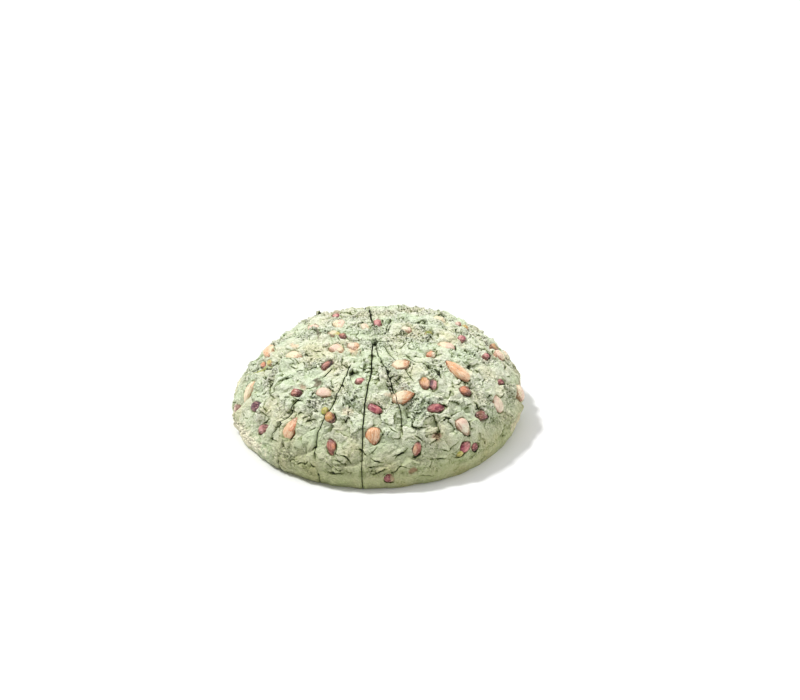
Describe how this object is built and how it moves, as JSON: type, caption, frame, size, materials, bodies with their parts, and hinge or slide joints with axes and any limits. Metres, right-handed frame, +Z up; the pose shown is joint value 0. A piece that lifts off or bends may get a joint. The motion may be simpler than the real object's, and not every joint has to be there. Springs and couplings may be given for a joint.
{
  "type": "nougat cake",
  "caption": "Round domed cake of soft green pistachio nougat with whole nuts, cut into wedges that still stand together.",
  "frame": {"origin": "on the flat underside, at the middle of the cake, where the knife cuts meet", "axes": "+Z up out of the top; -Y towards the front, where the widest knife gap runs down; +X to the right of the front"},
  "size_m": [0.2611, 0.2592, 0.0814],
  "materials": {
    "nougat": "matte, soft and torn, with smooth knife faces",
    "almond": "satin",
    "pistachio": "satin"
  },
  "bodies": {
    "root": {"almond_01": "almond", "almond_02a": "almond", "almond_02b": "almond", "almond_03a": "almond", "almond_03b": "almond", "almond_04": "almond", "almond_05": "almond", "almond_06": "almond", "almond_07": "almond", "almond_08": "almond", "almond_09": "almond", "almond_10": "almond", "almond_11a": "almond", "almond_11b": "almond", "almond_12a": "almond", "almond_12b": "almond", "almond_13": "almond", "almond_14": "almond", "almond_15a": "almond", "almond_15b": "almond", "almond_16": "almond", "almond_17": "almond", "almond_18a": "almond", "almond_18b": "almond", "almond_19": "almond", "almond_20": "almond", "almond_21a": "almond", "almond_21b": "almond", "almond_22a": "almond", "almond_22b": "almond", "almond_23": "almond", "almond_24": "almond", "almond_25": "almond", "almond_26": "almond", "almond_27": "almond", "almond_28": "almond", "almond_29": "almond", "almond_30": "almond", "almond_31": "almond", "almond_32a": "almond", "almond_32b": "almond", "slice_01": "nougat", "slice_02": "nougat", "slice_03": "nougat", "slice_04": "nougat", "slice_05": "nougat", "slice_06": "nougat", "slice_07": "nougat", "slice_08": "nougat", "slice_09": "nougat", "slice_10": "nougat", "slice_11": "nougat", "slice_12": "nougat", "slice_13": "nougat", "slice_14": "nougat", "slice_15": "nougat", "slice_16": "nougat", "slice_17": "nougat", "slice_18": "nougat"}
  },
  "joints": []
}
